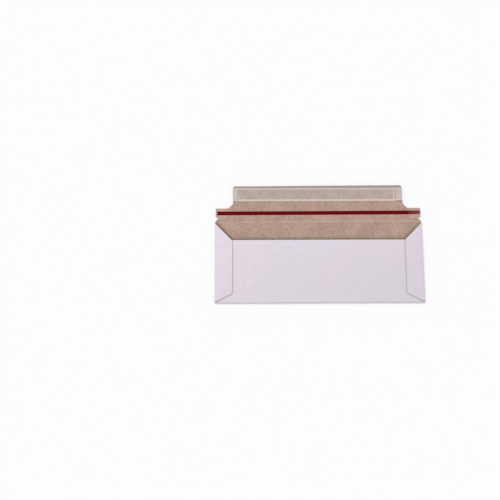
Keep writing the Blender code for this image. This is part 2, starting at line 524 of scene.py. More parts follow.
    def side_band(self, drop: float) -> np.ndarray:
        """A side fold and flap, as a grid of flat points on the right.

        Its columns stand at fixed places across, close together on the fold. Down each column
        the rows keep their share of the way between the flap's two slanted ends: level to the
        fold's middle, then sloping, with an arc at the lower free corner.

        Args:
            drop: how much lower than its place the upper slant lies at the free edge.

        Returns:
            The grid of flat points.
        """
        depth = self.closed_width / 2 - self.side_fold
        start = self.side_fold + math.pi * self.side_radius
        middle = (self.side_fold + start) / 2
        free = start + self.side_flap_width - depth
        upper_start = self.relief - depth - drop / 2
        upper_end = -self.throat_depth - drop
        lower_start = self.foot + self.side_flap_start_rise
        lower_end = self.foot + self.side_flap_end_rise
        radius = self.side_flap_corner
        slope = (self.side_flap_end_rise - self.side_flap_start_rise) / (free - start)
        half_angle = (math.pi / 2 + math.atan(slope)) / 2
        arc_v = lower_end + radius / math.tan(half_angle)
        arc_turn = np.linspace(2 * half_angle - math.pi / 2, np.pi / 2, self.round_steps + 1)
        corner_x = free - radius + radius * np.sin(arc_turn)
        x = np.concatenate([
            np.linspace(self.side_fold, start, self.fold_steps + 1),
            steps(start, corner_x[0], self.cell)[1:],
            corner_x[1:],
        ])
        turns_x = [self.side_fold, middle, start, free]
        top = np.interp(x, turns_x, [self.relief, self.relief, upper_start, upper_end])
        low = np.interp(x, turns_x, [self.foot, self.foot, lower_start, lower_end])
        around = np.sqrt(np.clip(radius ** 2 - (x - free + radius) ** 2, 0, None))
        low = np.where(x > corner_x[0], arc_v - around, low)
        rows = self.panel_rows()
        share = ((rows - self.relief) / (self.foot - self.relief))[:, None]
        v = top + share * (low - top)
        return np.stack([np.broadcast_to(x, v.shape), v], axis=-1)

    def flat_sheet(self) -> Tuple[np.ndarray, np.ndarray]:
        """The whole flat blank, its left half mirrored from its right but for the flap's slant.

        Returns:
            Its points and its faces, whose normals point to the board's inside.
        """
        middle = self.closure_bands() + self.panel_bands()
        right = middle + [self.side_band(0.0)]
        left = middle + [self.side_band(self.left_flap_drop)]
        mirrored = [(grid * np.array([-1.0, 1.0]))[:, ::-1] for grid in left]
        return joined(right + mirrored)


# Patterns


@dataclass(frozen=True)
class Pattern:
    """Soft random patches, whose values run from 0 to 1 and lie near 0.5 on the whole.

    The grain is the patches' size. Each unit of detail adds a finer layer, and rough says how
    strong those layers are. A stretch under 1 draws the patches out along its axis, and one
    over 1 presses them together.
    """

    grain: float
    detail: float = 2.0
    rough: float = 0.5
    stretch: Tuple[float, float, float] = UNSTRETCHED

    def on(self, where: Value) -> Value:
        """Draws the pattern.

        Args:
            where: the coordinates that it is drawn on.

        Returns:
            Its value at each place.
        """
        graph = where.graph
        if self.stretch != UNSTRETCHED:
            where = graph.stretched(where, self.stretch)
        settings = {"noise_dimensions": "3D"}
        sockets = {"Vector": where, "Scale": 1 / self.grain, "Detail": self.detail}
        return graph.node("ShaderNodeTexNoise", settings, {**sockets, "Roughness": self.rough})


@dataclass(frozen=True)
class Mark:
    """A share that grows smoothly from 0 where a value is at start to its whole at end.

    A falling mark has its whole share at start, and none at end.
    """

    start: float
    end: float
    share: float = 1.0
    falling: bool = False

    def on(self, value: Value) -> Value:
        """Marks a value.

        Args:
            value: the pattern or the distance that is marked.

        Returns:
            The share at each place.
        """
        ramp = value.ramp(self.start, self.end)
        if self.falling:
            ramp = 1 - ramp
        return ramp if self.share == 1.0 else ramp * self.share


@dataclass(frozen=True)
class Relief:
    """How two patterns are pressed into a surface: the depth, the strength, the first's share."""

    depth: float
    strength: float
    share: float = 0.5

    def of(self, first: Value, second: Value) -> Value:
        """Presses the patterns in.

        Args:
            first: the pattern that has the share.
            second: the pattern that has the rest.

        Returns:
            The disturbed normal.
        """
        height = first * self.share + second * (1 - self.share)
        sockets = {"Strength": self.strength, "Distance": self.depth, "Height": height}
        return height.graph.node("ShaderNodeBump", sockets=sockets)


# Finishes


@dataclass(frozen=True)
class CoatedFace:
    """The board's outside: a smooth white coat with a cool tint, over faintly cloudy stock.

    It darkens slowly towards the lower right, a painted fall-off of light, and is a little worn on
    the folds.
    """

    cool: Colour = srgb(225, 217, 227)
    warm: Colour = srgb(227, 217, 225)
    # painted shade: the darker tint towards the lower right, where the light falls off
    painted_dim: Colour = srgb(214, 206, 215)
    worn: Colour = srgb(206, 198, 206)
    drift: Pattern = Pattern(0.0600, detail=1.0)
    cloud: Pattern = Pattern(0.0060, detail=3.0)
    fibre: Pattern = Pattern(0.0005, detail=3.0, rough=0.6, stretch=(0.4, 1.0, 1.0))
    warm_drift: Mark = Mark(0.35, 0.65)
    # painted fall-off of light: its direction, and where the darkening starts and is whole
    dimming_along: Tuple[float, float] = (26.0, -62.0)
    painted_dimming: Mark = Mark(-5.0, 9.0)
    cloud_wear: Mark = Mark(0.42, 0.72, 0.20)
    fibre_wear: Mark = Mark(0.50, 0.80, 0.22)
    fold_wear: float = 0.25
    roughness: float = 0.46
    cloud_roughness: float = 0.14
    specular: float = 0.35
    relief: Relief = Relief(0.00004, 0.35)

    def material(self) -> bpy.types.Material:
        """Builds the coat's material.

        Returns:
            The finished material.
        """
        graph = Graph.of_material("coated_face")
        flat, place = graph.attribute(BLANK_ATTRIBUTE), graph.place()
        folded = graph.attribute(FOLD_ATTRIBUTE, output=2)
        cloud, fibre = self.cloud.on(flat), self.fibre.on(flat)
        tint = graph.mix(self.warm_drift.on(self.drift.on(flat)), self.cool, self.warm)
        # painted shade: the coat darkens towards the lower right
        along = graph.part(place, 0) * self.dimming_along[0] + graph.part(place, 1) * self.dimming_along[1]
        tint = graph.mix(self.painted_dimming.on(along), tint, self.painted_dim)
        wear = self.cloud_wear.on(cloud) + self.fibre_wear.on(fibre) + folded * self.fold_wear
        return graph.finish({
            "Base Color": graph.mix(wear, tint, self.worn),
            "Roughness": self.roughness + cloud * self.cloud_roughness,
            "Specular IOR Level": self.specular,
            "Normal": self.relief.of(cloud, fibre),
        })


@dataclass(frozen=True)
class BrownFace:
    """The board's inside: uncoated grey-brown recycled stock with fibres and specks.

    It has painted light on the tabs and a painted highlight along the crease, painted shade under
    the raised edges of the throat and of the liner, and is greyer past the liner.
    """

    blank: Blank
    liner: Footprint
    seal: Footprint
    warm: Colour = srgb(187, 160, 144)
    pink: Colour = srgb(184, 156, 144)
    shade: Colour = srgb(164, 136, 122)
    dark_speck: Colour = srgb(142, 115, 101)
    pale_speck: Colour = srgb(207, 181, 166)
    # painted highlight along the crease
    painted_crease_highlight: Colour = srgb(200, 175, 160)
    margin: Colour = srgb(160, 147, 146)
    # painted light on the tabs
    painted_tab_light: Colour = srgb(202, 174, 162)
    # the colour of the painted shade under raised edges
    painted_shade: Colour = srgb(72, 62, 54)
    cloud: Pattern = Pattern(0.0180)
    patch: Pattern = Pattern(0.0110)
    mottle: Pattern = Pattern(0.0030, detail=3.0, rough=0.55)
    speck: Pattern = Pattern(0.0013)
    fibre: Pattern = Pattern(0.0004, detail=3.0, rough=0.6, stretch=(0.35, 1.0, 1.0))
    pink_patches: Mark = Mark(0.35, 0.65)
    shaded_clouds: Mark = Mark(0.35, 0.65, 0.50)
    dark_mottle: Mark = Mark(0.50, 0.70, 0.38)
    dark_specks: Mark = Mark(0.60, 0.70, 0.28)
    pale_mottle: Mark = Mark(0.30, 0.48, 0.26, falling=True)
    pale_specks: Mark = Mark(0.30, 0.40, 0.25, falling=True)
    dark_fibres: Mark = Mark(0.45, 0.75, 0.18)
    # where the tabs' painted light starts and ends, and its share
    tab_before: float = 0.0020
    tab_beyond: float = 0.0040
    tab_paling: float = 0.40
    # the crease's painted highlight: its place, line and breaks
    crease_shift: float = 0.0005
    crease_skew: float = 0.0045
    crease_line: Mark = Mark(0.0004, 0.0010, 0.62, falling=True)
    crease_least: float = 0.15
    crease_mottle: Mark = Mark(0.35, 0.60, 0.50)
    crease_patches: float = 0.35
    # painted shade by the throat: eased on the right, and its near and far reach
    right_ease: float = 0.0010
    throat_shade_near: Mark = Mark(0.0, 0.0024, 0.34, falling=True)
    throat_shade_far: Mark = Mark(0.0, 0.0055, 0.33, falling=True)
    # painted shadow under the liner's lower edge, stronger under its lifted tail
    liner_shadow_fade: Mark = Mark(0.0004, 0.0022, falling=True)
    liner_shade: float = 0.10
    tail_shade: float = 0.20
    margin_share: float = 0.85
    margin_soft: float = 0.0006
    sharp: float = 0.0010
    roughness: float = 0.86
    fibre_roughness: float = 0.10
    specular: float = 0.25
    relief: Relief = Relief(0.00008, 0.55, 0.4)

    def stock(self, flat: Value, patch: Value, mottle: Value, fibre: Value) -> Value:
        """The plain stock: a clouded ground with mottling, specks and fibres.

        Args:
            flat: the places on the flat blank.
            patch: how pink the ground is.
            mottle: the pattern of the mottling.
            fibre: the pattern of the fibres.

        Returns:
            Its colour.
        """
        graph, speck = flat.graph, self.speck.on(flat)
        ground = graph.mix(patch, self.warm, self.pink)
        ground = graph.mix(self.shaded_clouds.on(self.cloud.on(flat)), ground, self.shade)
        dark = self.dark_mottle.on(mottle) + self.dark_specks.on(speck)
        pale = self.pale_mottle.on(mottle) + self.pale_specks.on(speck)
        specked = graph.mix(dark, ground, self.dark_speck)
        specked = graph.mix(pale, specked, self.pale_speck)
        return graph.mix(self.dark_fibres.on(fibre), specked, self.dark_speck)

    def painted_light(self, colour: Value, x: Value, v: Value, patch: Value, mottle: Value) -> Value:
        """Paints light on the tabs, as where a tab bends to the lamp, and a broken highlight on the
        crease.

        Args:
            colour: the stock's colour.
            x: the place along the crease.
            v: the distance from the crease.
            patch: how pink the ground is.
            mottle: the pattern of the mottling.

        Returns:
            The paled colour.
        """
        graph, blank = x.graph, self.blank
        # painted light: the tabs are paler, as where a tab bends towards the lamp
        on_tab = abs(x).ramp(blank.tab_root - self.tab_before, blank.tab_root + self.tab_beyond)
        low, high = blank.tab_foot - self.sharp, blank.tab_top + self.sharp
        on_tab = on_tab * v.between(low, high, self.sharp)
        colour = graph.mix(on_tab * self.tab_paling, colour, self.painted_tab_light)
        # painted highlight: a broken pale line along the crease
        from_crease = abs(v - x * self.crease_skew - self.crease_shift)
        broken = self.crease_least + self.crease_mottle.on(mottle) + patch * self.crease_patches
        return graph.mix(self.crease_line.on(from_crease) * broken, colour, self.painted_crease_highlight)

    def shaded(self, colour: Value, x: Value, v: Value) -> Value:
        """Paints shade on the stock under the raised edges of the throat and the liner, and greys
        the rest.

        The distance from the throat's edge, where the shade is painted, is the lesser of those from
        its straight line and from its slants, which rise at 45 degrees. The rest is the margin past
        the liner.

        Args:
            colour: the stock's colour.
            x: the place along the crease.
            v: the distance from the crease.

        Returns:
            The shaded colour.
        """
        graph, blank = x.graph, self.blank
        # painted shade: darker by the raised edges of the throat and its slants
        from_line = v + blank.throat_depth
        from_slant = (from_line + blank.flap_edge - abs(x)) * math.sqrt(0.5)
        from_slant = from_slant + x.ramp(0.0, blank.flap_edge) * self.right_ease
        from_edge = graph.math("MINIMUM", from_line, from_slant)
        throat = self.throat_shade_near.on(from_edge) + self.throat_shade_far.on(from_edge)
        colour = graph.mix(throat, colour, self.painted_shade)
        # painted shadow under the liner's lower edge, stronger under its lifted tail
        on_tail = x.step(self.seal.right, self.sharp)
        from_liner = abs(self.liner.low - blank.crease_y + on_tail * TAIL_RISE - v)
        liner_shadow = self.liner_shadow_fade.on(from_liner) * (on_tail * self.tail_shade + self.liner_shade)
        colour = graph.mix(liner_shadow, colour, self.painted_shade)
        beyond_liner = v.step(self.liner.high - blank.crease_y, self.margin_soft)
        return graph.mix(beyond_liner * self.margin_share, colour, self.margin)

    def material(self) -> bpy.types.Material:
        """Builds the stock's material.

        Returns:
            The finished material.
        """
        graph = Graph.of_material("brown_face")
        flat = graph.attribute(BLANK_ATTRIBUTE)
        x, v = graph.part(flat, 0), graph.part(flat, 1)
        patch = self.pink_patches.on(self.patch.on(flat))
        mottle, fibre = self.mottle.on(flat), self.fibre.on(flat)
        plain = self.stock(flat, patch, mottle, fibre)
        return graph.finish({
            "Base Color": self.shaded(self.painted_light(plain, x, v, patch, mottle), x, v),
            "Roughness": self.roughness + fibre * self.fibre_roughness,
            "Specular IOR Level": self.specular,
            "Normal": self.relief.of(mottle, fibre),
        })


@dataclass(frozen=True)
class CutEdge:
    """The board's die-cut edge: the white coat's line, then pressed grey-brown plies."""

    coat: Colour = srgb(222, 214, 220)
    pale_ply: Colour = srgb(190, 170, 156)
    dark_ply: Colour = srgb(150, 128, 114)
    along_grain: float = 0.0030
    ply_grain: float = 0.00009
    fibre: Pattern = Pattern(0.0004)
    dark_plies: Mark = Mark(0.35, 0.65)
    coat_depth: Mark = Mark(0.06, 0.14, falling=True)
    roughness: float = 0.88
    fibre_roughness: float = 0.10
    specular: float = 0.20
    relief: Relief = Relief(0.00006, 0.6, 0.6)

    def material(self) -> bpy.types.Material:
        """Builds the edge's material.

        Returns:
            The finished material.
        """
        graph = Graph.of_material("cut_edge")
        flat = graph.attribute(BLANK_ATTRIBUTE)
        depth = graph.attribute(PLY_ATTRIBUTE, output=2)
        pressed = (1.0, 1.0, self.along_grain / self.ply_grain)
        plies = Pattern(self.along_grain, stretch=pressed).on(flat)
        fibre = self.fibre.on(flat)
        core = graph.mix(self.dark_plies.on(plies), self.pale_ply, self.dark_ply)
        return graph.finish({
            "Base Color": graph.mix(self.coat_depth.on(depth), core, self.coat),
            "Roughness": self.roughness + fibre * self.fibre_roughness,
            "Specular IOR Level": self.specular,
            "Normal": self.relief.of(plies, fibre),
        })


@dataclass(frozen=True)
class TapeFilm:
    """The tear tape: deep red film, with a painted sheen that pales it towards its lifted right
    end.
    """

    red: Colour = srgb(98, 1, 7)
    bright: Colour = srgb(110, 3, 11)
    # painted sheen towards the lifted right end
    painted_sheen: Colour = srgb(137, 66, 76)
    streak: Pattern = Pattern(0.0009, stretch=(0.03, 1.0, 1.0))
    cloud: Pattern = Pattern(0.0120)
    blotch: Pattern = Pattern(0.0025)
    bright_streaks: Mark = Mark(0.50, 0.80, 0.50)
    bright_clouds: Mark = Mark(0.50, 0.70, 0.30)
    # where the painted sheen starts, and how it grows
    sheen_start: float = 0.0988
    sheen_soft: float = 0.0008
    sheen_least: float = 0.14
    sheen_rise: Mark = Mark(0.0968, 0.1110, 0.52)
    sheen_blotches: float = 0.30
    roughness: float = 0.34
    streak_roughness: float = 0.12
    specular: float = 0.05
    relief: Relief = Relief(0.00003, 0.4, 0.7)

    def material(self) -> bpy.types.Material:
        """Builds the film's material.

        Returns:
            The finished material.
        """
        graph = Graph.of_material("tape_film")
        place = graph.place()
        along = graph.part(place, 0)
        streak, cloud = self.streak.on(place), self.cloud.on(place)
        brightness = self.bright_streaks.on(streak) + self.bright_clouds.on(cloud)
        film = graph.mix(brightness, self.red, self.bright)
        # painted sheen: the film pales towards its lifted right end
        blotches = self.blotch.on(place) * self.sheen_blotches
        paling = self.sheen_least + self.sheen_rise.on(along) + blotches
        lifted = along.step(self.sheen_start, self.sheen_soft)
        return graph.finish({
            "Base Color": graph.mix(lifted * paling, film, self.painted_sheen),
            "Roughness": self.roughness + streak * self.streak_roughness,
            "Specular IOR Level": self.specular,
            "Normal": self.relief.of(streak, cloud),
        })


@dataclass(frozen=True)
class LinerPaper:
    """The release liner: thin glazed paper, dark where adhesive wets it and pale where dry.

    The wetting reaches its full depth a little way in from the band's left end, and lessens
    again before the right end. Both ways are given from the band's ends.
    """

    seal: Footprint
    wet: Colour = srgb(181, 164, 156)
    wet_deep: Colour = srgb(171, 153, 146)
    wet_pale: Colour = srgb(192, 178, 173)
    dry_low: Colour = srgb(212, 193, 184)
    dry_high: Colour = srgb(197, 181, 175)
    tail_low: Colour = srgb(207, 195, 191)
    tail_high: Colour = srgb(194, 184, 182)
    left_end: Colour = srgb(196, 185, 180)
    nick: Colour = srgb(128, 112, 108)
    ragged: Pattern = Pattern(0.0035)
    fray: Pattern = Pattern(0.0012)
    cloud: Pattern = Pattern(0.0090)
    streak: Pattern = Pattern(0.0016, rough=0.6, stretch=(1.0, 0.3, 1.0))
    bubble: Pattern = Pattern(0.0011)
    deep_clouds: Mark = Mark(0.40, 0.65, 0.80)
    pale_streaks: Mark = Mark(0.48, 0.75, 0.60)
    bubbles: Mark = Mark(0.66, 0.74, 0.50)
    wet_from: float = -0.0004
    wet_full: float = 0.0033
    wet_wander: float = 0.0060
    dry_from: float = -0.00392
    dry_full: float = -0.00168
    dry_wander: float = 0.0030
    dry_share: float = 0.70
    side_wander: float = 0.0011
    side_soft: float = 0.0008
    left_dry: float = 0.0022
    right_dry: float = 0.0028
    end_soft: float = 0.0010
    halves_soft: float = 0.0200
    nick_line: Mark = Mark(0.00025, 0.00075, falling=True)
    nick_wander: float = 0.0010
    nick_share: float = 0.45
    roughness: float = 0.52
    wet_gloss: float = 0.14
    streak_roughness: float = 0.06
    specular: float = 0.40
    relief: Relief = Relief(0.00006, 0.45)

    def wetted(self, x: Value, y: Value, ragged: Value, fray: Value) -> Value:
        """Where adhesive wets the paper: on the band, with ragged ends and frayed sides.

        Args:
            x: the place along the liner.
            y: the place across it.
            ragged: how far the raggedness lies off its mean.
            fray: how far the fraying lies off its mean.

        Returns:
            1 where the paper is wet and 0 where it is dry.
        """
        seal = self.seal
        wet_x, dry_x = x + ragged * self.wet_wander, x + ragged * self.dry_wander
        covered = wet_x.ramp(seal.left + self.wet_from, seal.left + self.wet_full)
        dried = dry_x.ramp(seal.right + self.dry_from, seal.right + self.dry_full)
        covered = covered * (1 - dried * self.dry_share)
        return covered * (y + fray * self.side_wander).between(seal.low, seal.high, self.side_soft)

    def glued(self, place: Value, cloud: Value, streak: Value) -> Value:
        """The wet paper, with deeper clouds, pale streaks and small bubbles.

        Args:
            place: the piece's own coordinates.
            cloud: the pattern of the clouds.
            streak: the pattern of the streaks.

        Returns:
            Its colour.
        """
        graph = place.graph
        colour = graph.mix(self.deep_clouds.on(cloud), self.wet, self.wet_deep)
        colour = graph.mix(self.pale_streaks.on(streak), colour, self.wet_pale)
        return graph.mix(self.bubbles.on(self.bubble.on(place)), colour, self.nick)

    def bare(self, x: Value, y: Value) -> Value:
        """The dry paper, which differs between its long margins and its two ends.

        Args:
            x: the place along the liner.
            y: the place across it.

        Returns:
            Its colour.
        """
        graph, seal = x.graph, self.seal
        upwards = y.ramp(seal.low, seal.high)
        margins = graph.mix(upwards, self.dry_low, self.dry_high)
        tail = graph.mix(upwards, self.tail_low, self.tail_high)
        ends = graph.mix(x.step(0.0, self.halves_soft), self.left_end, tail)
        left, right = seal.left + self.left_dry, seal.right - self.right_dry
        return graph.mix(1 - x.between(left, right, self.end_soft), margins, ends)

    def material(self) -> bpy.types.Material:
        """Builds the paper's material.

        Returns:
            The finished material.
        """
        graph = Graph.of_material("liner_paper")
        place, seal = graph.place(), self.seal
        x, y = graph.part(place, 0), graph.part(place, 1)
        cloud, streak = self.cloud.on(place), self.streak.on(place)
        fray = self.fray.on(place) - PATTERN_MEAN
        wetted = self.wetted(x, y, self.ragged.on(place) - PATTERN_MEAN, fray)
        sheet = graph.mix(wetted, self.bare(x, y), self.glued(place, cloud, streak))
        from_end = abs(x + fray * self.nick_wander - seal.right)
        nicked = self.nick_line.on(from_end) * y.between(seal.low, seal.high, self.end_soft)
        return graph.finish({
            "Base Color": graph.mix(nicked * self.nick_share, sheet, self.nick),
            "Roughness": self.roughness - wetted * self.wet_gloss + streak * self.streak_roughness,
            "Specular IOR Level": self.specular,
            "Normal": self.relief.of(streak, cloud),
        })


@dataclass(frozen=True)
class AdhesiveFilm:
    """Pressure-sensitive adhesive: a milky, glossy, slightly blistered film."""

    name: str
    milky: Colour = srgb(196, 184, 170)
    clear: Colour = srgb(176, 158, 140)
    grain: float = 0.0018
    roughness: float = 0.22
    clearing: Mark = Mark(0.35, 0.65)
    drag_roughness: float = 0.15
    specular: float = 0.50
    relief: Relief = Relief(0.00008, 0.5, 0.6)

    def material(self) -> bpy.types.Material:
        """Builds the film's material.

        Returns:
            The finished material.
        """
        graph = Graph.of_material(self.name)
        place = graph.place()
        blister = Pattern(self.grain, detail=3.0, rough=0.6).on(place)
        drag = Pattern(self.grain, stretch=(0.15, 1.0, 1.0)).on(place)
        return graph.finish({
            "Base Color": graph.mix(self.clearing.on(blister), self.milky, self.clear),
            "Roughness": self.roughness + drag * self.drag_roughness,
            "Specular IOR Level": self.specular,
            "Normal": self.relief.of(blister, drag),
        })


@dataclass(frozen=True)
class PaleFloor:
    """The studio floor: plain, matt and nearly white."""

    tone: Colour = (0.982, 0.982, 0.982, 1.0)

    def material(self) -> bpy.types.Material:
        """Builds the floor's material.

        Returns:
            The finished material.
        """
        return Graph.of_material("pale_floor").finish({
            "Base Color": self.tone,
            "Roughness": 1.0,
            "Specular IOR Level": 0.0,
        })


# Meshes


def cells(rows: int, columns: int) -> np.ndarray:
    """The faces of a grid of points, four corners each, turning left as x grows and v falls.

    Args:
        rows: points down the grid.
        columns: points across it.

    Returns:
        An array of corner numbers, four to a face, whose normals point up.
    """
    index = np.arange(rows * columns).reshape(rows, columns)
    corners = [index[:-1, :-1], index[1:, :-1], index[1:, 1:], index[:-1, 1:]]
    return np.stack(corners, axis=-1).reshape(-1, 4)


def joined(grids: Sequence[np.ndarray]) -> Tuple[np.ndarray, np.ndarray]:
    """Joins grids of flat points into one sheet, whose shared points are merged.

    Args:
        grids: arrays of rows by columns by 2 numbers, whose common borders have the same points.

    Returns:
        The sheet's points and its faces.
    """
    points = np.concatenate([grid.reshape(-1, 2) for grid in grids])
    counts = [grid.shape[0] * grid.shape[1] for grid in grids]
    starts = np.concatenate([[0], np.cumsum(counts)[:-1]])
    faces = [cells(*grid.shape[:2]) + start for grid, start in zip(grids, starts)]
    lattice = np.floor(points / LATTICE + LATTICE_SHIFT).astype(np.int64)
    _, first, merged = np.unique(lattice, axis=0, return_index=True, return_inverse=True)
    return points[first], merged.reshape(-1)[np.concatenate(faces)]


def open_edges(faces: np.ndarray) -> np.ndarray:
    """The edges that only one face has, each in the direction in which that face runs.

    Args:
        faces: four corner numbers to a face.

    Returns:
        An array of start and end numbers.
    """
    edges = np.stack([faces, np.roll(faces, -1, axis=1)], axis=-1).reshape(-1, 2)
    pairs = np.sort(edges, axis=1)
    _, back, times = np.unique(pairs, axis=0, return_inverse=True, return_counts=True)
    return edges[times[back.reshape(-1)] == 1]


class Zone(Enum):
    """The three kinds of face on a thickened sheet, by their material's place."""

    UPPER = 0
    LOWER = 1
    RIM = 2


@dataclass
class Solid:
    """A closed mesh in arrays, with the numbers its materials read at each point."""

    points: np.ndarray
    faces: np.ndarray
    zones: np.ndarray
    vectors: Dict[str, np.ndarray] = field(default_factory=dict)
    numbers: Dict[str, np.ndarray] = field(default_factory=dict)

    @classmethod
    def between(cls, upper: np.ndarray, lower: np.ndarray, faces: np.ndarray) -> "Solid":
        """Closes two copies of one sheet into a solid.

        The upper copy keeps its faces, the lower has them turned over, and each edge that only
        one face has gets a rim face that joins the two copies.

        Args:
            upper: the upper copy's points.
            lower: the lower copy's points, in the same order.
            faces: the sheet's faces, whose normals point from lower to upper.

        Returns:
            The closed solid.
        """
        count = len(upper)
        rim = open_edges(faces)
        walls = np.stack([rim[:, 1], rim[:, 0], rim[:, 0] + count, rim[:, 1] + count], axis=-1)
        every = np.concatenate([faces, faces[:, ::-1] + count, walls])
        sizes = [len(faces), len(faces), len(walls)]
        zones = np.repeat([Zone.UPPER.value, Zone.LOWER.value, Zone.RIM.value], sizes)
        return cls(np.concatenate([upper, lower]), every, zones)

    @classmethod
    def layer(cls, x: np.ndarray, y: np.ndarray, low: np.ndarray, high: np.ndarray) -> "Solid":
        """Closes the layer between two heights over one grid of places.

        Args:
            x: the grid's x, at each row and column.
            y: its y.
            low: the lower height.
            high: the upper height.

        Returns:
            The closed solid.
        """
        lower, upper = (np.stack([x, y, z], axis=-1).reshape(-1, 3) for z in (low, high))
        return cls.between(upper, lower, cells(*x.shape))

    def piece(
        self, name: str, materials: Sequence[bpy.types.Material], sharp: float = 40.0
    ) -> bpy.types.Object:
        """Makes the Blender object.

        Args:
            name: the piece's name.
            materials: one for every zone, or one for all.
            sharp: edges that turn by more than this many degrees stay sharp.

        Returns:
            The object, at the origin, with its place in its mesh.
        """
        mesh = bpy.data.meshes.new(name)
        mesh.from_pydata(self.points.tolist(), [], self.faces.tolist())
        for material in materials:
            mesh.materials.append(material)
        if len(materials) > 1:
            mesh.polygons.foreach_set("material_index", self.zones.astype(np.int32))
        for attribute, values in self.vectors.items():
            layer = mesh.attributes.new(attribute, "FLOAT_VECTOR", "POINT")
            layer.data.foreach_set("vector", values.astype(np.float32).ravel())
        for attribute, values in self.numbers.items():
            layer = mesh.attributes.new(attribute, "FLOAT", "POINT")
            layer.data.foreach_set("value", values.astype(np.float32).ravel())
        mesh.shade_smooth()
        mesh.set_sharp_from_angle(angle=math.radians(sharp))
        mesh.update()
        made = bpy.data.objects.new(name, mesh)
        bpy.context.scene.collection.objects.link(made)
        return made


@dataclass(frozen=True)
class Wave:
    """A sine along a line: its height, its radians for each metre and its start in radians."""

    height: float
    rate: float
    start: float = 0.0

    def at(self, place: np.ndarray) -> np.ndarray:
        """The sine's height at each place."""
        return self.height * np.sin(place * self.rate + self.start)


def stand_for(piece: bpy.types.Object, node: str) -> None:
    """Lets a piece stand for a CAD node on the envelope's one body.

    Args:
        piece: the piece's object.
        node: the CAD node's name.
    """
    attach(piece, BODY)
    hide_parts(node)


# The board


@dataclass(frozen=True)
class Relaxation:
    """How the board gives where nothing holds it: the flap's lift, a flexed tab, a bowed mouth."""

    blank: Blank
    liner: Footprint
    glue: Footprint
    flap_lift: float = 0.0007
    lift_power: float = 1.6
    flap_wave: float = 0.00012
    wave_length: float = 0.150
    wave_start: float = 0.8
    tab_lift: float = 0.0009
    tab_start: float = 0.0005
    edge_fall: float = 0.0008
    end_draw: float = 0.0005
    draw_power: int = 8
    end_run: float = 0.0050
    seam_tuck: float = 0.00012
    foot_tuck: float = 0.00042
    foot_run: float = 0.0060
    stiff_start: float = 0.0070
    stiff_end: float = 0.0010
    mouth_bow: float = 0.0016
    bow_power: int = 6

    def flap(self, x: np.ndarray, v: np.ndarray) -> np.ndarray:
        """How high the closure flap stands at a point of the flat blank.

        The lift grows with a power of the way from the crease to the free edge, with a
        slow sine wave along x. The right tab rises by the square of the way from root to tip,
        and that rise dies away below the tab's foot.

        Args:
            x: the place along the crease.
            v: the distance from the crease.

        Returns:
            The height, which is 0 behind the crease.
        """
        blank = self.blank
        way = np.clip(v / blank.closure_length, 0, 1)
        wave = self.flap_wave * np.sin(2 * np.pi * x / self.wave_length + self.wave_start)
        bent = np.maximum((x - blank.tab_root) / (blank.tab_half - blank.tab_root), 0) ** 2
        rise = self.tab_lift * bent * smooth(v, self.tab_start, blank.tab_foot)
        return way ** self.lift_power * (self.flap_lift + wave) + rise

    def trim(self, x: np.ndarray, v: np.ndarray) -> Tuple[np.ndarray, np.ndarray]:
        """How the closure flap was cut a little out of square.

        Past the liner the free edge falls back evenly towards its left end. Beside the liner the
        right end is drawn in, by a high power of the way out.

        Args:
            x: the place along the crease.
            v: the distance from the crease.

        Returns:
            The trimmed x and v.
        """
        half, crease = self.blank.flap_half, self.blank.crease_y
        past_liner = smooth(v, self.liner.high - crease, self.blank.closure_length)
        fall = self.edge_fall * np.clip((half - x) / (2 * half), 0, 1) * past_liner
        start = self.liner.low - crease
        beside_liner = smooth(v, start, start + self.end_run)
        draw = self.end_draw * np.clip(x / half, 0, 1) ** self.draw_power * beside_liner
        return x - draw, v - fall

    def tuck(self, x: np.ndarray, v: np.ndarray) -> np.ndarray:
        """How far a side flap is pressed down on the back panel past its glue.

        The drop grows smoothly from the glue to the flap's free edge, and from the glue's foot to
        the flap's slanted end. It dies away towards the side fold, which is stiff.

        Args:
            x: the place across the envelope.
            v: the place below the crease, which is negative.

        Returns:
            The drop.
        """
        across, fold = np.abs(x), self.blank.side_fold
        foot = self.glue.low - self.blank.crease_y
        inwards = self.seam_tuck * (1 - smooth(across, self.blank.flap_edge, self.glue.left))
        downwards = self.foot_tuck * (1 - smooth(v, foot - self.foot_run, foot))
        free = 1 - smooth(across, fold - self.stiff_start, fold - self.stiff_end)
        return np.maximum(inwards, downwards) * free

    def mouth(self, x: np.ndarray, v: np.ndarray) -> np.ndarray:
        """How far the back panel, with the flaps that are glued on it, springs open.

        The rise is flat across the middle and falls off as 1 less a high power of the way to the
        side folds. It grows smoothly from the bottom fold to the throat edge.

        Args:
            x: the place across the envelope.
            v: the place below the crease, which is negative.

        Returns:
            The height.
        """
        blank = self.blank
        across = np.clip(1 - (np.abs(x) / blank.side_fold) ** self.bow_power, 0, 1)
        return self.mouth_bow * across * smooth(v, -blank.bottom_fold, -blank.throat_depth)


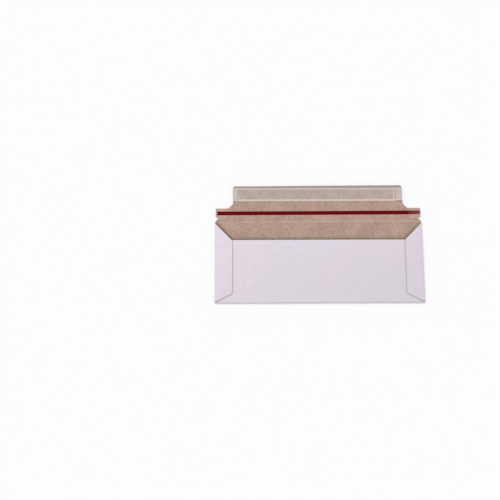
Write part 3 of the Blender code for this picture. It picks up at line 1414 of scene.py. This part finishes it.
@dataclass
class EnvelopeBoard:
    """The folded blank: closure flap, front panel, side flaps and back panel in one sheet."""

    blank: Blank
    relaxation: Relaxation
    liner: Footprint
    seal: Footprint

    @staticmethod
    def rolled(
        distance: np.ndarray, radius: float, height: np.ndarray
    ) -> Tuple[np.ndarray, np.ndarray, np.ndarray]:
        """A half-turn fold.

        A point this far past the fold's start has turned by its distance over the radius, up to
        half a turn, and lies on a circle that is smaller by its height. What is left of the
        distance then runs back, level.

        Args:
            distance: how far past the fold's start the point lies on the flat blank.
            radius: the fold's radius at the middle of the board.
            height: how far from the middle of the board the point lies, towards its inside.

        Returns:
            How far out the point lies, how high, and the sine of its turn.
        """
        turn = np.clip(distance / radius, 0, np.pi)
        past = np.maximum(distance - np.pi * radius, 0)
        out = (radius - height) * np.sin(turn) - past
        return out, radius - (radius - height) * np.cos(turn), np.sin(turn)

    def placed(self, flat: np.ndarray, height: float) -> Tuple[np.ndarray, np.ndarray]:
        """Carries flat points to their place on the folded envelope.

        Past the bottom fold a point rolls about x, and past a side fold it rolls about y. Near the
        crease it rises by half of 1 plus a cosine. The closure flap and the back panel then give
        as the relaxation says.

        Args:
            flat: points of the blank.
            height: how far they lie from the middle of the board, towards its inside.

        Returns:
            Their places, and how sharply the board is folded there, from 0 to 1.
        """
        blank, relaxation = self.blank, self.relaxation
        x, v = relaxation.trim(flat[:, 0], flat[:, 1])
        across = np.abs(x)
        level = np.full(len(x), height)
        below, below_z, below_turn = self.rolled(-blank.bottom_fold - v, blank.bottom_radius, level)
        aside, aside_z, aside_turn = self.rolled(across - blank.side_fold, blank.side_radius, level)
        in_bottom = v < -blank.bottom_fold
        in_side = (v < 0) & ~in_bottom & (across > blank.side_fold)
        in_crease = np.abs(v) < blank.crease_width / 2
        bead = blank.crease_rise * (1 + np.cos(2 * np.pi * v / blank.crease_width)) / 2
        z = np.select([in_bottom, in_side, in_crease], [below_z, aside_z, level + bead], level)
        z = z + np.where(v > 0, relaxation.flap(x, v), 0)
        y = np.where(in_bottom, -blank.bottom_fold - below, v)
        x = np.where(in_side, np.sign(x) * (blank.side_fold + aside), x)
        z = z + np.where(in_bottom | in_side, relaxation.mouth(x, y), 0)
        z = z - np.where(in_side, relaxation.tuck(x, y), 0)
        points = np.stack([x, blank.crease_y + y, blank.board / 2 + z], axis=-1)
        return points, np.select([in_bottom, in_side], [below_turn, aside_turn], 0.0)

    def build(self) -> bpy.types.Object:
        """Builds the folded board as one closed mesh and dresses its faces and its cut edge.

        Returns:
            The piece's object.
        """
        flat, faces = self.blank.flat_sheet()
        half = self.blank.board / 2
        inside, folded = self.placed(flat, half)
        outside, _ = self.placed(flat, -half)
        solid = Solid.between(inside, outside, faces)
        count = len(flat)
        depth = np.concatenate([np.full(count, half), np.full(count, -half)])
        solid.vectors[BLANK_ATTRIBUTE] = np.column_stack([np.tile(flat, (2, 1)), depth])
        solid.numbers[PLY_ATTRIBUTE] = np.concatenate([np.ones(count), np.zeros(count)])
        solid.numbers[FOLD_ATTRIBUTE] = np.tile(folded, 2)
        piece = solid.piece("folded_board", self.dress())
        stand_for(piece, "envelope_board")
        return piece

    def dress(self) -> List[bpy.types.Material]:
        """The board's materials, in the order of its zones: inside, outside and cut edge."""
        inside = BrownFace(self.blank, self.liner, self.seal)
        return [inside.material(), CoatedFace().material(), CutEdge().material()]


# The strips on the board


@dataclass
class Strip:
    """A thin strip that lies on the closure flap.

    It has a footprint, a film thickness, a height above the board, and a skew, which is how much
    further from the crease its right end lies than its left.
    """

    relaxation: Relaxation
    place: Footprint
    film: float
    rest: float = FILM_GAP
    skew: float = 0.0
    along_cell: float = 0.0012
    across_cell: float = 0.0005

    def grid(self) -> Tuple[np.ndarray, np.ndarray]:
        """Lays out the strip's points, turned by its skew over its length.

        Returns:
            Their x and their y, at each row and column.
        """
        columns = steps(self.place.left, self.place.right, self.along_cell)
        rows = steps(self.place.high, self.place.low, self.across_cell)
        x, y = np.meshgrid(columns, rows)
        return x, y + self.turned(x)

    def turned(self, x: np.ndarray) -> np.ndarray:
        """How far the skew moves a point at x away from the crease."""
        return self.skew * (x - self.place.centre[0]) / self.place.length

    def off_middle(self, x: np.ndarray, y: np.ndarray) -> np.ndarray:
        """How far out across the strip a point lies: 0 on the middle line and 1 at a long side."""
        off = np.abs(y - self.place.centre[1] - self.turned(x))
        return np.clip(off * 2 / self.place.breadth, 0, 1)

    def swell(self, x: np.ndarray, y: np.ndarray) -> np.ndarray:
        """How far the strip stands off what it lies on, beyond its rest height."""
        return np.zeros_like(x)

    def thickness(self, x: np.ndarray, y: np.ndarray) -> np.ndarray:
        """How thick the film is at each point."""
        return np.full_like(x, self.film)

    def solid(self) -> Solid:
        """Lays the film on a base height: the board, the flap's lift, the rest and the swell.

        Returns:
            The closed solid.
        """
        x, y = self.grid()
        relaxation, blank = self.relaxation, self.relaxation.blank
        x, v = relaxation.trim(x, y - blank.crease_y)
        y = v + blank.crease_y
        base = blank.board + relaxation.flap(x, v) + self.rest + self.swell(x, y)
        return Solid.layer(x, y, base, base + self.thickness(x, y))


@dataclass
class TearTape(Strip):
    """The red tear tape, from one tear tab to the other."""

    film: float = 0.0001
    skew: float = 0.0005
    thinning: float = 0.5
    thin_power: int = 6

    def thickness(self, x: np.ndarray, y: np.ndarray) -> np.ndarray:
        """The film thins to half at its long sides, by a high power of the way out."""
        return self.film * (1 - self.thinning * self.off_middle(x, y) ** self.thin_power)

    def build(self) -> bpy.types.Object:
        """Builds and dresses the tape.

        Returns:
            The piece's object.
        """
        piece = self.solid().piece("red_tear_tape", [TapeFilm().material()])
        stand_for(piece, "tear_tape")
        return piece


@dataclass
class SealAdhesive(Strip):
    """The band of seal adhesive, whose sides wander a little, as it is laid down wet."""

    film: float = 0.0001
    wander: float = 0.00025
    sides: Tuple[Wave, ...] = (Wave(1.0, 610), Wave(0.7, 1130, 1.3), Wave(0.5, 2290, 0.4))
    thinning: float = 0.6
    thin_power: int = 8
    ripple_along: Wave = Wave(0.06, 1700)
    ripple_across: Wave = Wave(1.0, 2100)

    def grid(self) -> Tuple[np.ndarray, np.ndarray]:
        """Widens and narrows the plain grid along its length, by three sines of unlike length.

        Returns:
            The x and the y, at each row and column.
        """
        x, y = super().grid()
        middle = self.place.centre[1]
        wave = sum(side.at(x) for side in self.sides)
        return x, middle + (y - middle) * (1 + wave * self.wander / self.place.breadth)

    def thickness(self, x: np.ndarray, y: np.ndarray) -> np.ndarray:
        """The film has rounded shoulders, by a high power of the way out, and fine ripples.

        Args:
            x: the place along the band.
            y: the place across it.

        Returns:
            The thickness at each point.
        """
        shoulder = self.thinning * self.off_middle(x, y) ** self.thin_power
        ripple = self.ripple_along.at(x) * self.ripple_across.at(y)
        return self.film * (1 - shoulder + ripple)

    def build(self) -> bpy.types.Object:
        """Builds and dresses the adhesive.

        Returns:
            The piece's object.
        """
        piece = self.solid().piece("seal_band", [AdhesiveFilm("seal_band_film").material()])
        stand_for(piece, "seal_adhesive")
        return piece


@dataclass
class ReleaseLiner(Strip):
    """The liner paper: drawn down to the board along its dry margins, and free at one end."""

    film: float = 0.00008
    rest: float = 0.00003
    seal: SealAdhesive = field(kw_only=True)
    step_half: float = 0.0005
    climb_run: float = 0.0008
    climb_spare: float = 1.15
    cockle: float = 0.00009
    cockle_rate: float = 520
    cockle_drift: Wave = Wave(2.0, 95)
    tail_lift: float = 0.00090

    def grid(self) -> Tuple[np.ndarray, np.ndarray]:
        """Steps the plain grid's lower side up where the tail leaves the adhesive.

        Returns:
            The x and the y, at each row and column.
        """
        x, y = super().grid()
        seal_end = self.seal.place.right
        on_tail = smooth(x, seal_end - self.step_half, seal_end + self.step_half)
        return x, y + TAIL_RISE * on_tail * (self.place.high - y) / self.place.breadth

    def swell(self, x: np.ndarray, y: np.ndarray) -> np.ndarray:
        """The liner's height over the board, beyond its rest height.

        It climbs over the adhesive on a short run beside the band. Its margins cockle by half of
        1 plus a sine, and past the adhesive's right end it rises with the square of the way.

        Args:
            x: the place along the liner.
            y: the place across it.

        Returns:
            The height at each point.
        """
        seal, run = self.seal.place, self.climb_run
        over = smooth(y, seal.low - run, seal.low) * (1 - smooth(y, seal.high, seal.high + run))
        over = over * smooth(x, seal.left - run, seal.left)
        over = over * (1 - smooth(x, seal.right, seal.right + run))
        climb = (self.seal.film * self.climb_spare + FILM_GAP) * over
        wave = np.sin(x * self.cockle_rate + self.cockle_drift.at(x))
        cockles = self.cockle * (1 - over) * (1 + wave) / 2
        end = np.clip((x - seal.right) / (self.place.right - seal.right), 0, 1) ** 2
        return climb + cockles + self.tail_lift * end

    def build(self) -> bpy.types.Object:
        """Builds and dresses the liner.

        Returns:
            The piece's object.
        """
        paper = LinerPaper(self.seal.place)
        piece = self.solid().piece("liner_strip", [paper.material()])
        stand_for(piece, "release_liner")
        return piece


class Side(Enum):
    """The envelope's two ends, by the sign of their x."""

    LEFT = -1
    RIGHT = 1


@dataclass
class SideGlue:
    """The glue line that holds a side flap on the back panel: a pressed bead with wavy sides."""

    relaxation: Relaxation
    side: Side
    wander: float = 0.0004
    sides: Tuple[Wave, ...] = (Wave(0.5, 900), Wave(0.3, 2100, 1.0))
    bulge: float = 0.00012
    bulge_power: int = 8
    columns: int = 15
    row_step: float = 0.001
    milky: Colour = srgb(205, 192, 172)
    clear: Colour = srgb(182, 164, 140)
    grain: float = 0.0025
    roughness: float = 0.30

    @property
    def node(self) -> str:
        """The CAD node that the glue line stands for."""
        return f"side_glue_{self.side.name.lower()}"

    def solid(self) -> Solid:
        """Closes the bead between the back panel and the side flap.

        Its sides wander by two sines along y, and its faces close in towards them by a high
        power of the way out.

        Returns:
            The closed solid.
        """
        place, blank = Footprint.of(self.node), self.relaxation.blank
        rows = steps(place.high, place.low, self.row_step)
        share, y = np.meshgrid(np.linspace(-1, 1, self.columns), rows)
        wave = sum(side.at(y) for side in self.sides)
        x = place.centre[0] + share * (place.length / 2 - self.wander * (1 - wave))
        round_off = self.bulge * share ** self.bulge_power
        rise = self.relaxation.mouth(x, y - blank.crease_y)
        low = 2 * blank.bottom_radius + blank.board + FILM_GAP + rise + round_off
        high = 2 * blank.side_radius - FILM_GAP + rise - round_off
        return Solid.layer(x, y, low, high)

    def build(self) -> bpy.types.Object:
        """Builds and dresses the glue line.

        Returns:
            The piece's object.
        """
        side = self.side.name.lower()
        film = f"flap_glue_{side}"
        finish = AdhesiveFilm(film, self.milky, self.clear, self.grain, self.roughness)
        piece = self.solid().piece(f"glue_line_{side}", [finish.material()])
        stand_for(piece, self.node)
        return piece


# The studio


@dataclass(frozen=True)
class Studio:
    """A pale floor, a soft lamp from the upper left, even light from all round, and the camera.

    The shares of the two lights add up to 1, the level at which a level surface renders in its
    own colour. The camera's numbers were worked out from the photograph's perspective.
    """

    lamp_share: float = 0.30
    lamp_elevation: float = 50.0
    lamp_azimuth: float = 120.0
    lamp_angle: float = 35.0
    background: float = 0.982
    floor_half: float = 6.0
    floor_lines: int = 9
    floor_drop: float = 0.00002
    aim: Tuple[float, float, float] = (-0.07434, -0.00685, 0.0)
    distance: float = 0.7068
    elevation: float = 80.84
    azimuth: float = -0.113
    roll: float = -0.083
    lens: float = 46.97
    sensor: float = 36.0
    clip_start: float = 0.01
    clip_end: float = 50.0

    def lay_floor(self) -> bpy.types.Object:
        """Lays the floor just under the board, as a level grid of even lines.

        Returns:
            The floor's object.
        """
        line = np.linspace(-self.floor_half, self.floor_half, self.floor_lines)
        x, y = np.meshgrid(line, line[::-1])
        points = np.stack([x, y, np.full_like(x, -self.floor_drop)], axis=-1).reshape(-1, 3)
        mesh = bpy.data.meshes.new("floor")
        mesh.from_pydata(points.tolist(), [], cells(*x.shape).tolist())
        mesh.materials.append(PaleFloor().material())
        floor = bpy.data.objects.new("floor", mesh)
        bpy.context.scene.collection.objects.link(floor)
        return floor

    def hang_lamp(self) -> bpy.types.Object:
        """Hangs the lamp, whose strength gives its share of the light on a level surface.

        Returns:
            The lamp's object.
        """
        lamp = bpy.data.lights.new("soft_lamp", "SUN")
        up, turn = math.radians(self.lamp_elevation), math.radians(self.lamp_azimuth)
        lamp.energy = self.lamp_share * math.pi / math.sin(up)
        lamp.angle = math.radians(self.lamp_angle)
        level = math.cos(up)
        towards = Vector((math.cos(turn) * level, math.sin(turn) * level, math.sin(up)))
        made = bpy.data.objects.new("soft_lamp", lamp)
        made.rotation_mode = "QUATERNION"
        made.rotation_quaternion = towards.to_track_quat("Z", "Y")
        made.location = towards
        bpy.context.scene.collection.objects.link(made)
        return made

    def light_room(self) -> None:
        """Gives the room its even light, and a white background to what looks straight at it."""
        world = bpy.data.worlds.new("room")
        bpy.context.scene.world = world
        graph = Graph(world)
        seen = graph.node("ShaderNodeLightPath", output="Is Camera Ray")
        for name in ("Is Glossy Ray", "Is Transmission Ray"):
            seen = graph.math("MAXIMUM", seen, graph.node("ShaderNodeLightPath", output=name))
        even = 1 - self.lamp_share
        sockets = {"Color": WHITE, "Strength": even + seen * (self.background - even)}
        room = graph.node("ShaderNodeBackground", sockets=sockets)
        graph.node("ShaderNodeOutputWorld", sockets={"Surface": room})

    def set_camera(self) -> bpy.types.Object:
        """Sets the camera at the photograph's viewing angle, distance and roll.

        Returns:
            The camera's object.
        """
        camera = bpy.data.cameras.new("camera")
        camera.lens = self.lens
        camera.sensor_width = self.sensor
        camera.clip_start = self.clip_start
        camera.clip_end = self.clip_end
        turn, up = math.radians(self.azimuth), math.radians(self.elevation)
        back = Vector((math.sin(turn) * math.cos(up), -math.cos(turn) * math.cos(up), math.sin(up)))
        level = Vector((math.cos(turn), math.sin(turn), 0))
        upright = back.cross(level)
        roll = math.radians(self.roll)
        right = level * math.cos(roll) + upright * math.sin(roll)
        top = upright * math.cos(roll) - level * math.sin(roll)
        eye = Vector(self.aim) + back * self.distance
        facing = Matrix((right, top, back)).transposed().to_4x4()
        made = bpy.data.objects.new("camera", camera)
        made.matrix_world = Matrix.Translation(eye) @ facing
        bpy.context.scene.collection.objects.link(made)
        bpy.context.scene.camera = made
        return made

    def build(self) -> None:
        """Builds the whole studio."""
        bpy.context.scene.view_settings.view_transform = "Standard"
        self.lay_floor()
        self.hang_lamp()
        self.light_room()
        self.set_camera()
        log.info("studio: floor, lamp, room light and camera are set")


def report(piece: bpy.types.Object) -> None:
    """Logs a piece's name, how many faces it has and how large it is.

    Args:
        piece: the piece's object.
    """
    places = np.empty(len(piece.data.vertices) * 3, np.float32)
    piece.data.vertices.foreach_get("co", places)
    extent = np.ptp(places.reshape(-1, 3), axis=0) * MILLIMETRES
    log.info("%s: %d faces, %.1f x %.1f x %.2f mm", piece.name, len(piece.data.polygons), *extent)


def main() -> None:
    """Builds the envelope's pieces and the studio in order, and reports each piece."""
    logging.basicConfig(level=logging.INFO, format="%(message)s")
    blank = Blank()
    tape_place = Footprint.of("tear_tape", shift_y=TAPE_SHIFT)
    seal_place = Footprint.of("seal_adhesive")
    liner_place = Footprint.of("release_liner", shift_x=LINER_SHIFT)
    relaxation = Relaxation(blank, liner_place, Footprint.of("side_glue_right"))
    seal = SealAdhesive(relaxation, seal_place)
    makers = [
        EnvelopeBoard(blank, relaxation, liner_place, seal_place),
        TearTape(relaxation, tape_place),
        seal,
        ReleaseLiner(relaxation, liner_place, seal=seal),
        *(SideGlue(relaxation, side) for side in Side),
    ]
    for maker in makers:
        report(maker.build())
    Studio().build()


if __name__ == "__main__":
    main()
